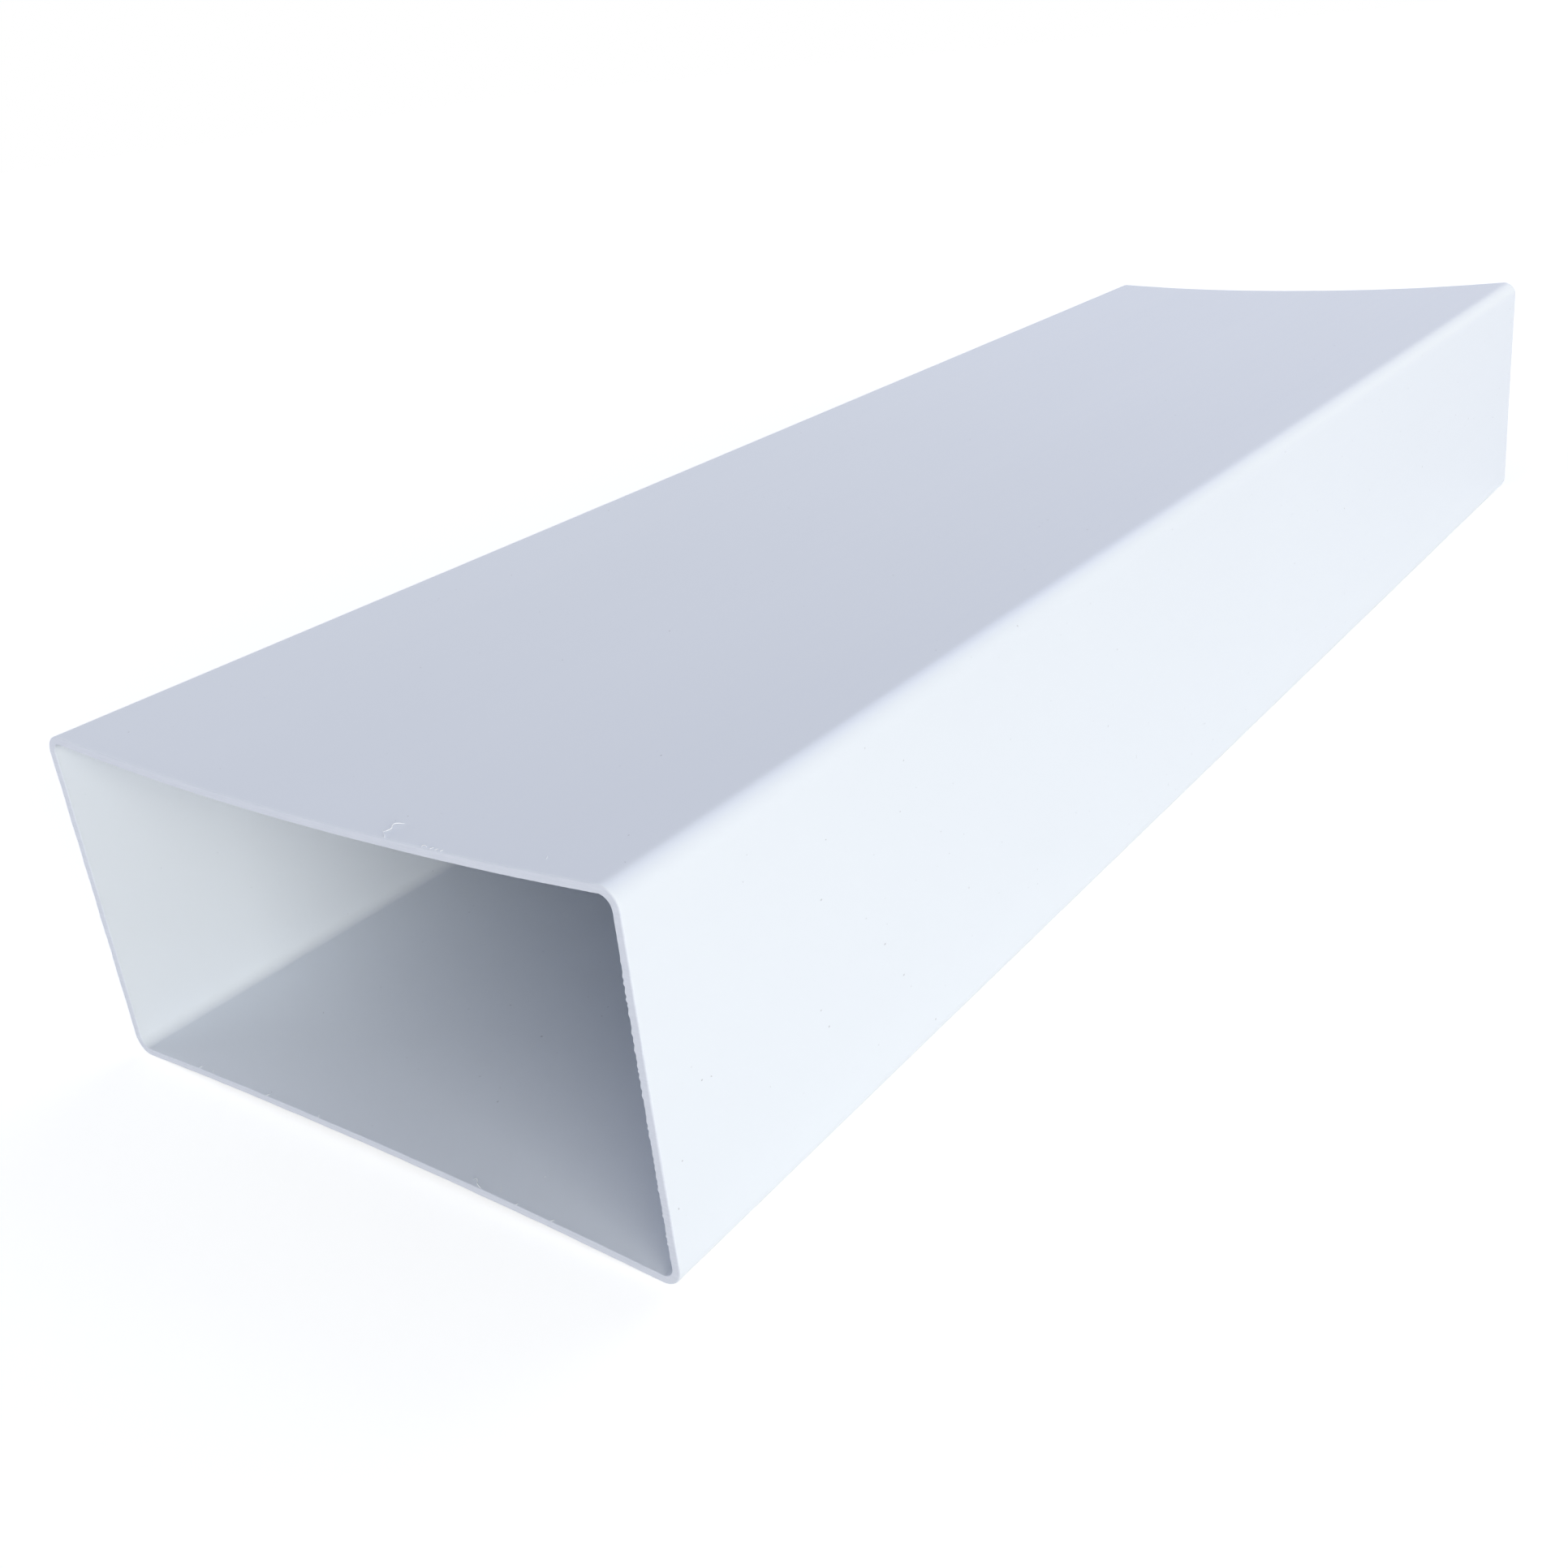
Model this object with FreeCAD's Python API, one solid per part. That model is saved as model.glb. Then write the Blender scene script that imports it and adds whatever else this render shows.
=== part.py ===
import FreeCAD, Part
import math
import os

# Flat channel duct: a straight length of rectangular ventilation channel, extruded as one hollow
# piece of white rigid PVC and sawn square at both ends. It lies on one of its wide walls, with X along
# the airway, Y across the width and Z up. The origin is under its middle, at the level it rests on.

# Driving dimensions, in millimetres
LENGTH = 350.0             # along the airway, from one sawn end to the other
WIDTH = 110.0              # outside, across the wide walls
HEIGHT = 54.0              # outside, over the crests of the long edges
WALL = 1.2                 # the same all round the section
INNER_CORNER_RADIUS = 1.8  # inside each long edge
TOP_SAG = 1.9              # the upper wide wall bows into the airway by this much, midway across
BOTTOM_SAG = 1.1           # the lower wide wall bows into the airway by this much, midway across

# Every rounding of one long edge, outside and inside, shares one centre
OUTER_CORNER_RADIUS = INNER_CORNER_RADIUS + WALL
CORNER_Y = WIDTH / 2 - OUTER_CORNER_RADIUS
CORNER_Z = HEIGHT / 2 - OUTER_CORNER_RADIUS

# Directions within the section, seen along the airway
LEFT, RIGHT = 1, -1
UP, DOWN = 1, -1


def section_point(y, z_from_middle):
    """A point of the section's plane, at the first sawn end."""
    return FreeCAD.Vector(-LENGTH / 2, y, HEIGHT / 2 + z_from_middle)


def line(start, end):
    return Part.LineSegment(start, end).toShape()


def arc(start, middle, end):
    return Part.Arc(start, middle, end).toShape()


def long_edge(side, level, sag, inset):
    """Start, middle and end of one long edge's rounding, from the narrow wall to the wide wall.

    The rounding passes its crest and turns on until it is tangent to the arc of the bowed wide wall.
    That arc is tangent to both of its long edges and lies sag below their crests midway across, so
    it leaves each rounding at the slope worked out here, whatever the inset is.
    """
    slope = 2 * math.atan2(sag, CORNER_Y)
    turn = math.pi / 2 + slope
    radius = OUTER_CORNER_RADIUS - inset
    return [
        section_point(
            side * (CORNER_Y + radius * math.cos(angle)),
            level * (CORNER_Z + radius * math.sin(angle)),
        )
        for angle in (0, turn / 2, turn)
    ]


def wide_wall(level, sag, inset):
    """The two rounded long edges of one wide wall and the bowed wall between them, left to right."""
    left = long_edge(LEFT, level, sag, inset)
    right = long_edge(RIGHT, level, sag, inset)
    middle = section_point(0, level * (HEIGHT / 2 - sag - inset))
    edges = [
        arc(*left),
        arc(left[-1], middle, right[-1]),
        arc(*reversed(right)),
    ]
    return edges, left[0], right[0]


def outline(inset):
    """Closed outline of the section, at a depth of inset under the outer surface."""
    top_edges, top_left, top_right = wide_wall(UP, TOP_SAG, inset)
    bottom_edges, bottom_left, bottom_right = wide_wall(DOWN, BOTTOM_SAG, inset)
    narrow_walls = [line(top_right, bottom_right), line(bottom_left, top_left)]
    return Part.Wire(Part.__sortEdges__(top_edges + bottom_edges + narrow_walls))


def flat_channel():
    """The section, a band of one thickness round the open airway, drawn out along the length."""
    section = Part.Face(outline(0)).cut(Part.Face(outline(WALL))).Faces[0]
    return section.extrude(FreeCAD.Vector(LENGTH, 0, 0))


os.makedirs("parts", exist_ok=True)
flat_channel().exportStep("parts/flat_channel.step")
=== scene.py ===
import math
import bpy
import numpy as np
from mathutils import Matrix, Vector

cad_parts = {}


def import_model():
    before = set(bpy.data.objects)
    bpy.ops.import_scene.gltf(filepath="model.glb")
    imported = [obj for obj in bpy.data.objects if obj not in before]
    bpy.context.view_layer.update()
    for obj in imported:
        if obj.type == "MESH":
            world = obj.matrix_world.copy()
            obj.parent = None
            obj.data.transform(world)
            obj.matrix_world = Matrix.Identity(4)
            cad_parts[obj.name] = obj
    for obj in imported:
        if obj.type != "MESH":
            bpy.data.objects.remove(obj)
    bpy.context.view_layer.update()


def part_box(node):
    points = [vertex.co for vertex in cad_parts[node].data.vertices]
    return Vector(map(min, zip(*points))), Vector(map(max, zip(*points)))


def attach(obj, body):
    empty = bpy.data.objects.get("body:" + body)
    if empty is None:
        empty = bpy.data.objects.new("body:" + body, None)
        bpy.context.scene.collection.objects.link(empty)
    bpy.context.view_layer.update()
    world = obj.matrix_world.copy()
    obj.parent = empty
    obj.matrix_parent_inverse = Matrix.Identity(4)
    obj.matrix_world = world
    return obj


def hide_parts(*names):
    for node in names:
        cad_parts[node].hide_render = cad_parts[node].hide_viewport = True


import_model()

# Everything is in metres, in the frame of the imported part: X along the airway, Y across, Z up
MM = 0.001
NODE = "flat_channel"
low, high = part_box(NODE)
LENGTH = high.x - low.x
WIDTH = high.y - low.y
HEIGHT = high.z - low.z

# The extruded section
WALL = 1.2 * MM
CORNER_RADIUS = 3.0 * MM
TOP_SAG = 1.9 * MM
BOTTOM_SAG = 1.1 * MM
CORNER_Y = WIDTH / 2 - CORNER_RADIUS
CORNER_Z = HEIGHT / 2 - CORNER_RADIUS
LEFT, RIGHT = 1, -1
UP, DOWN = 1, -1
NEAR, FAR = -1, 1

# How finely the section and the length are divided
WIDE_WALL_STEPS = 78
NARROW_WALL_STEPS = 40
CORNER_STEPS = 10
LENGTH_STEPS = 48
RIM_REFINEMENT = 8
SHARP_ANGLE = math.radians(35)

# The sawn rims: a strip of finer mesh, its broken outer edge, and the ragged burr on its inner edge
RIM_STRIP = 1.0 * MM
EDGE_BREAK = (0.15 * MM, 0.29 * MM)
EDGE_BREAK_PITCH = 3.0 * MM
EDGE_BREAK_TURNS = np.radians((0, 30, 60))
EDGE_SUPPORT = 0.06 * MM
RIM_UNEVENNESS = 0.05 * MM
RIM_WAVE_LENGTHS = (31 * MM, 9 * MM, 2.3 * MM)
RIM_LEAN = math.tan(math.radians(7))
TOOTH_PITCH = 0.95 * MM
TOOTH_SPACINGS = (0.5, 1.5)
TOOTH_SIZES = (0.25, 1.2)
TOOTH_HEIGHT = 0.21 * MM
TOOTH_CREST = 0.66
TEETH_FROM = 3.0 * MM
TEETH_TO = 46.0 * MM
TEETH_FADE = 3.0 * MM
LIP_HEIGHT = 0.03 * MM
LIP_DEPTH = 0.3 * MM

# Section of the burr, as (depth in lip depths, inset in walls, share of the burr's height, sawn)
BURR_PROFILE = ((0, 0.95, 0.8, True), (0.25, 1, 1, True), (0.7, 1, 0.4, False), (1, 1, 0, False))

# Threads and flakes of swarf that the saw left at the near end, as (x, y, height above the wall) in mm
SWARF_RADIUS = 0.08 * MM
SWARF_TIP = 0.6
SWARF_ON_TOP = (
    ((-174.8, -17.6, 0.0), (-174.3, -17.0, 0.2), (-173.9, -16.3, 0.3)),
    (
        (-173.9, -16.3, 0.1),
        (-173.0, -17.0, 0.2),
        (-172.6, -16.5, 0.4),
        (-171.8, -16.4, 0.4),
        (-171.2, -17.2, 0.1),
    ),
    ((-174.8, -24.1, 0.0), (-174.6, -24.5, 0.3), (-174.8, -25.0, 0.1)),
    ((-174.9, -25.6, 0.0), (-174.6, -26.1, 0.1)),
    ((-174.9, -26.4, 0.0), (-174.7, -26.9, 0.1)),
    ((-174.9, -27.4, 0.0), (-174.7, -27.7, 0.1)),
    ((-172.0, -41.8, 0.0), (-171.6, -41.6, 0.1)),
)
SWARF_ON_FLOOR = (
    (
        (-173.9, -19.2, 0.1),
        (-173.8, -19.7, 0.5),
        (-174.3, -20.2, 0.2),
        (-174.7, -20.6, 0.4),
        (-174.8, -21.4, 0.0),
    ),
    ((-174.3, -24.2, 0.0), (-173.6, -23.9, 0.1), (-173.0, -23.2, 0.0)),
    ((-174.9, -27.5, 0.0), (-174.7, -27.9, 0.2)),
    ((-169.0, -27.0, 0.0), (-168.8, -27.2, 0.1)),
    ((-174.9, 11.1, 0.0), (-174.6, 11.3, 0.2)),
    ((-174.8, 35.8, 0.0), (-174.4, 36.1, 0.2)),
    ((-174.8, 39.2, 0.0), (-174.5, 38.8, 0.2)),
    ((-174.9, 22.9, 0.0), (-174.6, 22.4, 0.2)),
    ((-174.9, -33.6, 0.0), (-174.6, -34.1, 0.2)),
)

# Gentle waves that a cooling extrusion keeps, only ever into the airway: their greatest depths, and the
# waves of each wall as (share, number along the length, phase, skew across the wall)
WIDE_WAVE = 0.22 * MM
NARROW_WAVE = 0.08 * MM
TOP_WAVES = ((0.3, 1.3, 0.6, 0), (0.2, 2.9, 2.1, 9))
BOTTOM_WAVES = ((0.3, 1.1, 2.2, 0), (0.2, 2.4, 0.7, -7))
SIDE_WAVES = ((0.5, 1.7, 1.1, 2),)

# Camera: the photograph's viewing point, fitted to the duct's outline
CAMERA_PLACE = Vector((-286.72, -168.68, 136.31)) * MM
CAMERA_AIM = Vector((-84.26, -3.38, 27.0)) * MM
CAMERA_ROLL = math.radians(-6.98)
CAMERA_LENS = 38.67
CAMERA_SHIFT = (0.0135, -0.0342)
SENSOR_WIDTH = 36
CLIP_START = 0.01

# Colours
SKIN_DEEP = (0.779, 0.819, 0.894)
SKIN_PALE = (0.808, 0.848, 0.924)
# The sawn rims' colours are darker and bluer than the skin's. This is partly a greyer raw cut and partly
# painted shade of the end faces. The spread from deep to pale is the scratches' grain.
SAWN_SHADED_DEEP = (0.67, 0.705, 0.81)
SAWN_SHADED_PALE = (0.775, 0.805, 0.91)
SWARF_DEEP = (0.82, 0.85, 0.90)
SWARF_PALE = (0.90, 0.92, 0.95)
DUST = (0.54, 0.56, 0.62)

# Grain of the materials, in grains per metre along each axis
DIE_LINES = (1.5, 650, 650)
ORANGE_PEEL = (420, 420, 420)
CLOUDS = (9, 22, 22)
DUST_GRAINS = (1900, 1900, 1900)
DUST_PATCHES = (130, 130, 130)
SCRATCHES = (900, 300, 3800)
SCRATCH_TURN = (math.radians(24), 0, 0)
SWARF_GRAIN = (4000, 4000, 4000)
NOISE_ROUGHNESS = 0.55

# Gloss and relief of the materials, and the noise levels at which dust settles and shows
PVC_IOR = 1.53
SKIN_ROUGHNESS = (0.3, 0.4)
SAWN_ROUGHNESS = 0.6
SWARF_ROUGHNESS = 0.4
SKIN_RELIEF = 0.004 * MM
SAWN_RELIEF = 0.02 * MM
SWARF_RELIEF = 0.01 * MM
DUSTY_LEVELS = (0.55, 0.85)
DUSTY_LIFT = 0.08
SPECK_LEVELS = (0.905, 0.935)

# Light from all round, and four lamps with their places, sizes, powers in watts and colours
AMBIENT_COLOUR = (0.88, 0.91, 1.0)
AMBIENT_STRENGTH = 0.435
KEY_PLACE = (-1.08, -1.66, 0.42)
KEY_SIZE = (1.15, 0.96)
KEY_POWER = 28.2
KEY_COLOUR = (1.0, 0.99, 0.88)
SKY_PLACE = (0.80, 0.05, 0.96)
SKY_SIZE = (0.9, 0.9)
SKY_POWER = 2.8
SKY_COLOUR = (0.5, 0.6, 1.0)
RIM_LAMP_PLACE = (1.79, -0.52, 0.75)
RIM_LAMP_SIZE = (1.4, 1.4)
RIM_LAMP_POWER = 3.2
RIM_LAMP_COLOUR = (1.0, 1.0, 0.75)
FILL_PLACE = (-0.5, 1.75, 0.3)
FILL_SIZE = (1.0, 0.6)
FILL_POWER = 9.0
FILL_COLOUR = (0.94, 0.96, 1.0)
LAMP_AIM = (0, 0, 0.03)
FLOOR_HALF_SIZE = 4.0
FLOOR_COLOUR = (0.8, 0.8, 0.8)
FLOOR_LIFT_NEAR = 0.53
FLOOR_LIFT_FAR = 0.75
FLOOR_LIFT_REACH = (0.3, 1.6)


def wall_slope(sag):
    """Slope at which a bowed wide wall leaves the rounding of its long edge."""
    return 2 * math.atan2(sag, CORNER_Y)


def bow_radius(sag):
    """Radius of a bowed wide wall's outer face, tangent to both of its long edges."""
    return (CORNER_Y ** 2 + sag ** 2) / (2 * sag) - CORNER_RADIUS


def section_outline(refine):
    """Points round the outer outline and their outward normals, as (y, z) rows."""
    points = []
    normals = []

    def steps(start, end, count):
        return np.linspace(start, end, count * refine, endpoint=False)

    def add(y, z, normal_y, normal_z):
        points.append(np.column_stack([y, z]))
        normals.append(np.column_stack([normal_y, normal_z]))

    def narrow_wall(side, level):
        z = HEIGHT / 2 + level * steps(-CORNER_Z, CORNER_Z, NARROW_WALL_STEPS)
        add(np.full_like(z, side * WIDTH / 2), z, np.full_like(z, side), np.zeros_like(z))

    def long_edge(side, level, start, end):
        angle = steps(start, end, CORNER_STEPS)
        normal_y = side * np.cos(angle)
        normal_z = level * np.sin(angle)
        y = side * CORNER_Y + CORNER_RADIUS * normal_y
        add(y, HEIGHT / 2 + level * CORNER_Z + CORNER_RADIUS * normal_z, normal_y, normal_z)

    def wide_wall(side, level, sag):
        angle = steps(wall_slope(sag), -wall_slope(sag), WIDE_WALL_STEPS)
        normal_y = -side * np.sin(angle)
        normal_z = level * np.cos(angle)
        bow = bow_radius(sag)
        middle = HEIGHT / 2 + level * (HEIGHT / 2 - sag + bow)
        add(-bow * normal_y, middle - bow * normal_z, normal_y, normal_z)

    for side, level, sag in ((LEFT, UP, TOP_SAG), (RIGHT, DOWN, BOTTOM_SAG)):
        turn = math.pi / 2 + wall_slope(sag)
        narrow_wall(side, level)
        long_edge(side, level, 0, turn)
        wide_wall(side, level, sag)
        long_edge(-side, level, turn, 0)
    return np.vstack(points), np.vstack(normals)


def wave_sum(parts, turn, across):
    """Sum of one wall's waves, about a mean of a half."""
    total = 0.5
    for share, number, phase, skew in parts:
        total = total + share * np.sin(number * turn + phase + skew * across)
    return total


def waves(x, outline):
    """Slow waves of the walls along the length, as (dy, dz) rows. They fade out at the long edges."""
    y = outline[:, 0]
    z = outline[:, 1] - HEIGHT / 2
    across = np.clip(1 - (y / CORNER_Y) ** 2, 0, 1)
    upright = np.clip(1 - (z / CORNER_Z) ** 2, 0, 1)
    turn = 2 * math.pi * x / LENGTH
    top = wave_sum(TOP_WAVES, turn, y / WIDTH)
    bottom = wave_sum(BOTTOM_WAVES, turn, y / WIDTH)
    side = wave_sum(SIDE_WAVES, turn, z / HEIGHT)
    dy = -np.sign(y) * side * NARROW_WAVE * upright
    dz = np.where(z > 0, -top, bottom) * WIDE_WAVE * across
    on_wide_wall = np.abs(y) < CORNER_Y
    return np.column_stack([np.where(on_wide_wall, 0, dy), np.where(on_wide_wall, dz, 0)])


def run_length(outline):
    """Distance of each point of an outline from its first, along it."""
    steps = np.hypot(*np.diff(outline, axis=0).T)
    return np.concatenate([[0], np.cumsum(steps)])


def edge_break(outline, seed):
    """Radius of a rim's broken outer edge, which is a little uneven."""
    random = np.random.default_rng(seed)
    run = run_length(outline)
    knots = np.arange(0, run[-1] + EDGE_BREAK_PITCH, EDGE_BREAK_PITCH)
    return np.interp(run, knots, random.uniform(*EDGE_BREAK, len(knots)))


def burr_height(outline, seed, toothed_side):
    """Height of the burr on a rim's inner edge: saw teeth down one narrow wall, a low lip elsewhere."""
    random = np.random.default_rng(seed)
    run = run_length(outline)
    count = int(run[-1] / TOOTH_PITCH)
    ends = np.cumsum(random.uniform(*TOOTH_SPACINGS, count))
    ends = ends * run[-1] / ends[-1]
    sizes = random.uniform(*TOOTH_SIZES, count)
    tooth = np.clip(np.searchsorted(ends, run), 0, count - 1)
    begin = np.where(tooth > 0, ends[tooth - 1], 0)
    along = np.clip((run - begin) / (ends[tooth] - begin), 0, 1)
    bump = sizes[tooth] * np.minimum(along / TOOTH_CREST, (1 - along) / (1 - TOOTH_CREST))
    y, z = outline.T
    within = np.minimum(z - TEETH_FROM, TEETH_TO - z)
    toothed = np.clip(within / TEETH_FADE, 0, 1) * (y * toothed_side > CORNER_Y)
    lip = LIP_HEIGHT * (1 - toothed)
    return bump * (TOOTH_HEIGHT * toothed + lip)


def rim_depth(outline, seed):
    """Small steps that the saw leaves across the rim, as depths below the end plane."""
    random = np.random.default_rng(seed)
    total = np.zeros(len(outline))
    for wave_length in RIM_WAVE_LENGTHS:
        phase = random.uniform(0, 2 * math.pi)
        lean = random.uniform(-1, 1)
        total += np.sin(2 * math.pi * (outline[:, 1] + lean * outline[:, 0]) / wave_length + phase)
    return RIM_UNEVENNESS * (total - total.min()) / np.ptp(total)


def lean_depth(normal_y, inset):
    """Depth by which the cut through the left wall leans into the airway, as the saw wandered there."""
    return RIM_LEAN * np.maximum(normal_y, 0) ** 2 * inset


def rim_rings(end, section, seed, toothed_side):
    """Rings of one sawn end as (x, inset, on_rim), from the outer wall over the rim to the inner wall."""
    outline, normals = section
    burr = burr_height(outline, seed, toothed_side)
    face = rim_depth(outline, seed + 1)
    radius = edge_break(outline, seed + 2)
    cut = [(face + radius + EDGE_SUPPORT, 0, False)]
    for turn in EDGE_BREAK_TURNS:
        cut.append((face + radius * (1 - np.sin(turn)), radius * (1 - np.cos(turn)), turn > 0))
    cut += [(face, radius, True), (face, radius + EDGE_SUPPORT, True)]
    for depth, inset, share, on_rim in BURR_PROFILE:
        cut.append((face + depth * LIP_DEPTH, inset * WALL + share * burr, on_rim))
    profile = [(RIM_STRIP, 0, False)]
    for depth, inset, on_rim in cut:
        profile.append((depth + lean_depth(normals[:, 0], inset), inset, on_rim))
    profile.append((RIM_STRIP, WALL, False))
    return [(end * (LENGTH / 2 - depth), inset, on_rim) for depth, inset, on_rim in profile]


def joined(a, b):
    """Faces between two rings of point numbers, of which one may be several times finer."""
    if len(a) > len(b):
        return [face[::-1] for face in joined(b, a)]
    if len(a) == len(b):
        return np.column_stack([a, np.roll(a, -1), np.roll(b, -1), b]).tolist()
    share = len(b) // len(a)
    middle = share // 2
    faces = []
    for k, start in enumerate(a):
        end = a[(k + 1) % len(a)]
        run = [b[(k * share + j) % len(b)] for j in range(share + 1)]
        faces += [(start, run[j + 1], run[j]) for j in range(middle)]
        faces.append((start, end, run[middle]))
        faces += [(end, run[j + 1], run[j]) for j in range(middle, share)]
    return faces


def channel_shell(skin, sawn):
    """The duct itself: walls of one thickness round the airway, with a sawn rim at each end."""
    coarse = section_outline(1)
    fine = section_outline(RIM_REFINEMENT)
    body = np.linspace(-1, 1, LENGTH_STEPS + 1) * (LENGTH / 2 - 2 * RIM_STRIP)
    far_rim = rim_rings(FAR, fine, seed=7, toothed_side=LEFT)
    near_rim = rim_rings(NEAR, fine, seed=11, toothed_side=RIGHT)
    once_round = [(x, 0, False, coarse) for x in body]
    once_round += [(*ring, fine) for ring in far_rim]
    once_round += [(x, WALL, False, coarse) for x in body[::-1]]
    once_round += [(*ring, fine) for ring in near_rim[::-1]]

    points = []
    rings = []
    for x, inset, on_rim, (outline, normals) in once_round:
        section = outline - normals * np.reshape(inset, (-1, 1)) + waves(np.mean(x), outline)
        start = sum(len(p) for p in points)
        points.append(np.column_stack([np.broadcast_to(x, len(section)), section]))
        rings.append((np.arange(start, start + len(section)), on_rim))

    faces = []
    materials = []
    for (ring, on_rim), (after, after_on_rim) in zip(rings, rings[1:] + rings[:1]):
        band = joined(ring, after)
        faces += band
        materials += [int(on_rim and after_on_rim)] * len(band)
    return mesh_piece("channel_shell", np.vstack(points), faces, (skin, sawn), materials)


def mesh_piece(name, points, faces, materials, face_materials):
    """A mesh piece with smooth faces, sharp edges where they fold, and its materials."""
    mesh = bpy.data.meshes.new(name)
    mesh.from_pydata(points.tolist(), [], faces)
    for material in materials:
        mesh.materials.append(material)
    mesh.polygons.foreach_set("material_index", face_materials)
    mesh.polygons.foreach_set("use_smooth", [True] * len(mesh.polygons))
    mesh.set_sharp_from_angle(angle=SHARP_ANGLE)
    mesh.validate()
    piece = bpy.data.objects.new(name, mesh)
    bpy.context.scene.collection.objects.link(piece)
    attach(piece, "root")
    return piece


def top_height(y):
    """Height of the upper wall's outer face."""
    bow = bow_radius(TOP_SAG)
    return HEIGHT - TOP_SAG + bow - math.sqrt(bow ** 2 - y ** 2)


def floor_height(y):
    """Height of the lower wall's inner face."""
    bow = bow_radius(BOTTOM_SAG)
    return BOTTOM_SAG - bow + math.sqrt((bow + WALL) ** 2 - y ** 2)


def swarf(material):
    """The loose threads and flakes at the near end, each a thin round curl that tapers to its ends."""
    curve = bpy.data.curves.new("swarf", "CURVE")
    curve.dimensions = "3D"
    curve.bevel_depth = SWARF_RADIUS
    curve.bevel_resolution = 1
    curve.use_fill_caps = True
    for paths, wall_height in ((SWARF_ON_TOP, top_height), (SWARF_ON_FLOOR, floor_height)):
        for path in paths:
            spline = curve.splines.new("NURBS")
            spline.points.add(len(path) - 1)
            spline.order_u = 3
            spline.use_endpoint_u = True
            spline.resolution_u = 6
            for point, (x, y, lift) in zip(spline.points, path):
                point.co = (x * MM, y * MM, wall_height(y * MM) + lift * MM, 1)
                at_tip = point in (spline.points[0], spline.points[-1])
                point.radius = SWARF_TIP if at_tip else 1.0
    mesh = bpy.data.meshes.new_from_object(bpy.data.objects.new("swarf_path", curve))
    mesh.materials.clear()
    mesh.materials.append(material)
    piece = bpy.data.objects.new("swarf", mesh)
    bpy.context.scene.collection.objects.link(piece)
    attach(piece, "root")


def node(tree, kind, inputs=None, **settings):
    """Adds a shader node, sets its options, and fills its inputs with values or other nodes' outputs."""
    made = tree.nodes.new(kind)
    for key, value in settings.items():
        setattr(made, key, value)
    for key, value in (inputs or {}).items():
        if isinstance(value, bpy.types.NodeSocket):
            tree.links.new(value, made.inputs[key])
        else:
            made.inputs[key].default_value = value
    return made


def new_material(name):
    material = bpy.data.materials.new(name)
    material.use_nodes = True
    material.node_tree.nodes.clear()
    return material, material.node_tree


def stretched_noise(tree, scale, detail, turn=(0, 0, 0)):
    """Noise in the part's own frame, with its own number of grains per metre along each axis."""
    place = node(tree, "ShaderNodeTexCoord").outputs["Object"]
    mapping = node(tree, "ShaderNodeMapping", {"Vector": place, "Rotation": turn, "Scale": scale})
    return node(
        tree,
        "ShaderNodeTexNoise",
        {"Vector": mapping.outputs["Vector"], "Scale": 1.0, "Detail": detail, "Roughness": NOISE_ROUGHNESS},
    ).outputs["Fac"]


def mixed_colour(tree, share, first, second):
    """A colour between two others."""
    made = node(tree, "ShaderNodeMix", {"Factor": share}, data_type="RGBA")
    for key, colour in (("A", first), ("B", second)):
        socket = next(i for i in made.inputs if i.name == key and i.type == "RGBA")
        if isinstance(colour, bpy.types.NodeSocket):
            tree.links.new(colour, socket)
        else:
            socket.default_value = (*colour, 1)
    return next(o for o in made.outputs if o.type == "RGBA")


def ranged(tree, value, start, end, low, high):
    """The value, carried over from the range start to end to the range low to high."""
    return node(
        tree,
        "ShaderNodeMapRange",
        {"Value": value, "From Min": start, "From Max": end, "To Min": low, "To Max": high},
    ).outputs["Result"]


def plastic(tree, colour, roughness, relief, depth):
    """Rigid PVC of the given colour and gloss, with relief of the given depth."""
    bump = node(tree, "ShaderNodeBump", {"Height": relief, "Distance": depth, "Strength": 1.0})
    shader = node(
        tree,
        "ShaderNodeBsdfPrincipled",
        {"Base Color": colour, "Roughness": roughness, "IOR": PVC_IOR, "Normal": bump.outputs["Normal"]},
    )
    node(tree, "ShaderNodeOutputMaterial", {"Surface": shader.outputs["BSDF"]})


def skin_material():
    """Extruded skin: satin, with faint die lines along the length, orange peel and a few specks of dust."""
    material, tree = new_material("white_pvc_skin")
    die_lines = stretched_noise(tree, DIE_LINES, 3)
    peel = stretched_noise(tree, ORANGE_PEEL, 2)
    clouds = stretched_noise(tree, CLOUDS, 2)
    grains = stretched_noise(tree, DUST_GRAINS, 0)
    patches = stretched_noise(tree, DUST_PATCHES, 0)
    clean = mixed_colour(tree, clouds, SKIN_DEEP, SKIN_PALE)
    dusty = ranged(tree, patches, *DUSTY_LEVELS, 0, DUSTY_LIFT)
    gathered = node(tree, "ShaderNodeMath", {0: grains, 1: dusty}, operation="ADD").outputs[0]
    specks = ranged(tree, gathered, *SPECK_LEVELS, 0, 1)
    colour = mixed_colour(tree, specks, clean, DUST)
    roughness = ranged(tree, die_lines, 0, 1, *SKIN_ROUGHNESS)
    relief = node(tree, "ShaderNodeMath", {0: die_lines, 1: peel}, operation="ADD").outputs[0]
    plastic(tree, colour, roughness, relief, SKIN_RELIEF)
    return material


def sawn_material():
    """The sawn rims: the same plastic, cut raw and duller, with fine scratches across them. Their darker,
    bluer colour is partly a greyer raw cut and partly painted shade of the end faces.
    """
    material, tree = new_material("white_pvc_sawn_shaded")
    scratches = stretched_noise(tree, SCRATCHES, 3, turn=SCRATCH_TURN)
    colour = mixed_colour(tree, scratches, SAWN_SHADED_DEEP, SAWN_SHADED_PALE)
    plastic(tree, colour, SAWN_ROUGHNESS, scratches, SAWN_RELIEF)
    return material


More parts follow.
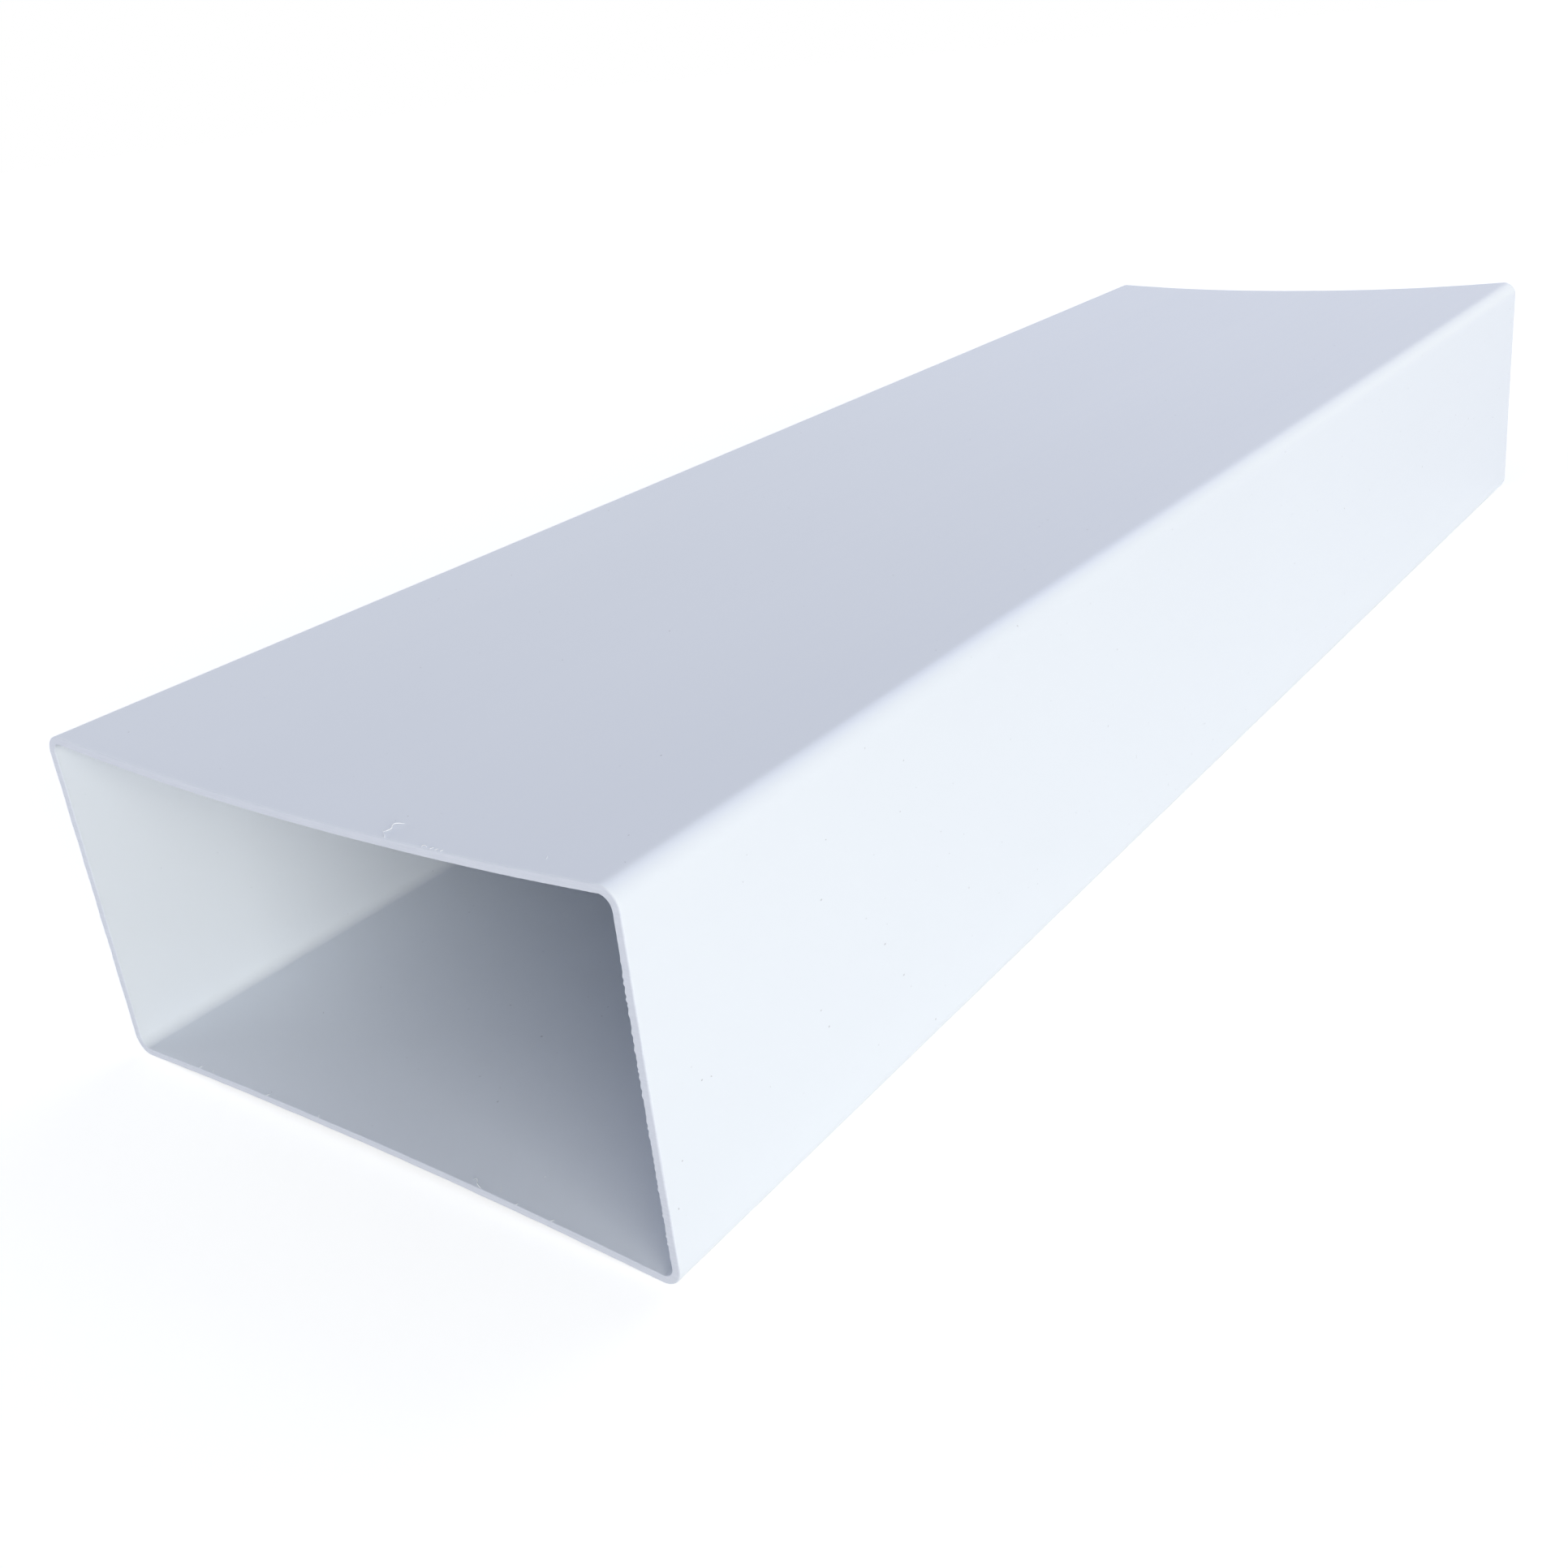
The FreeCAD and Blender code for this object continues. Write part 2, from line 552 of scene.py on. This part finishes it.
def swarf_material():
    """Thin curls of the same plastic, which look paler than the walls because light passes into them."""
    material, tree = new_material("white_pvc_swarf")
    grain = stretched_noise(tree, SWARF_GRAIN, 1)
    colour = mixed_colour(tree, grain, SWARF_DEEP, SWARF_PALE)
    plastic(tree, colour, SWARF_ROUGHNESS, grain, SWARF_RELIEF)
    return material


def seen_directly(tree):
    """1 for rays from the camera, a mirror or clear glass, and 0 for light bouncing between surfaces."""
    path = node(tree, "ShaderNodeLightPath").outputs
    seen = path["Is Camera Ray"]
    for other in ("Is Glossy Ray", "Is Transmission Ray"):
        seen = node(tree, "ShaderNodeMath", {0: seen, 1: path[other]}, operation="MAXIMUM").outputs[0]
    return seen


def floor():
    """A pale floor that looks white from the camera and keeps the duct's soft shadow."""
    material, tree = new_material("studio_floor")
    matte = node(tree, "ShaderNodeBsdfDiffuse", {"Color": (*FLOOR_COLOUR, 1)})
    place = node(tree, "ShaderNodeTexCoord").outputs["Object"]
    reach = node(tree, "ShaderNodeVectorMath", {0: place}, operation="LENGTH").outputs["Value"]
    level = ranged(tree, reach, *FLOOR_LIFT_REACH, FLOOR_LIFT_NEAR, FLOOR_LIFT_FAR)
    lift = node(tree, "ShaderNodeMath", {0: seen_directly(tree), 1: level}, operation="MULTIPLY")
    glow = node(tree, "ShaderNodeEmission", {"Color": (1, 1, 1, 1), "Strength": lift.outputs[0]})
    both = node(tree, "ShaderNodeAddShader", {0: matte.outputs[0], 1: glow.outputs[0]})
    node(tree, "ShaderNodeOutputMaterial", {"Surface": both.outputs[0]})
    half = FLOOR_HALF_SIZE
    corners = [(-half, -half, 0), (half, -half, 0), (half, half, 0), (-half, half, 0)]
    mesh = bpy.data.meshes.new("studio_floor")
    mesh.from_pydata(corners, [], [(0, 1, 2, 3)])
    mesh.materials.append(material)
    piece = bpy.data.objects.new("studio_floor", mesh)
    bpy.context.scene.collection.objects.link(piece)


def world():
    """Soft bluish light from all round, with a white background behind the duct."""
    made = bpy.data.worlds.new("studio_world")
    made.use_nodes = True
    tree = made.node_tree
    tree.nodes.clear()
    ambient = node(
        tree,
        "ShaderNodeBackground",
        {"Color": (*AMBIENT_COLOUR, 1), "Strength": AMBIENT_STRENGTH},
    )
    white = node(tree, "ShaderNodeBackground", {"Color": (1, 1, 1, 1), "Strength": 1.0})
    mixed = node(
        tree,
        "ShaderNodeMixShader",
        {0: seen_directly(tree), 1: ambient.outputs[0], 2: white.outputs[0]},
    )
    node(tree, "ShaderNodeOutputWorld", {"Surface": mixed.outputs[0]})
    bpy.context.scene.world = made


def area_lamp(name, place, size, power, colour, mirrored=False):
    """A rectangular soft light, turned towards the duct. Its own image shows on the plastic if mirrored."""
    data = bpy.data.lights.new(name, "AREA")
    data.shape = "RECTANGLE"
    data.size, data.size_y = size
    data.energy = power
    data.color = colour
    lamp = bpy.data.objects.new(name, data)
    lamp.location = place
    lamp.visible_glossy = mirrored
    lamp.rotation_mode = "QUATERNION"
    lamp.rotation_quaternion = (Vector(LAMP_AIM) - Vector(place)).to_track_quat("-Z", "Y")
    bpy.context.scene.collection.objects.link(lamp)


def camera():
    """The camera at the photograph's viewing point."""
    data = bpy.data.cameras.new("camera")
    data.sensor_width = SENSOR_WIDTH
    data.lens = CAMERA_LENS
    data.shift_x, data.shift_y = CAMERA_SHIFT
    data.clip_start = CLIP_START
    made = bpy.data.objects.new("camera", data)
    facing = (CAMERA_AIM - CAMERA_PLACE).to_track_quat("-Z", "Y").to_matrix().to_4x4()
    made.matrix_world = Matrix.Translation(CAMERA_PLACE) @ facing @ Matrix.Rotation(CAMERA_ROLL, 4, "Z")
    bpy.context.scene.collection.objects.link(made)
    bpy.context.scene.camera = made


skin = skin_material()
sawn = sawn_material()
shell = channel_shell(skin, sawn)
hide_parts(NODE)
swarf(swarf_material())
floor()
world()
area_lamp("key", KEY_PLACE, KEY_SIZE, KEY_POWER, KEY_COLOUR)
area_lamp("sky", SKY_PLACE, SKY_SIZE, SKY_POWER, SKY_COLOUR, mirrored=True)
area_lamp("rim", RIM_LAMP_PLACE, RIM_LAMP_SIZE, RIM_LAMP_POWER, RIM_LAMP_COLOUR, mirrored=True)
area_lamp("fill", FILL_PLACE, FILL_SIZE, FILL_POWER, FILL_COLOUR)
camera()
bpy.context.scene.view_settings.view_transform = "Standard"
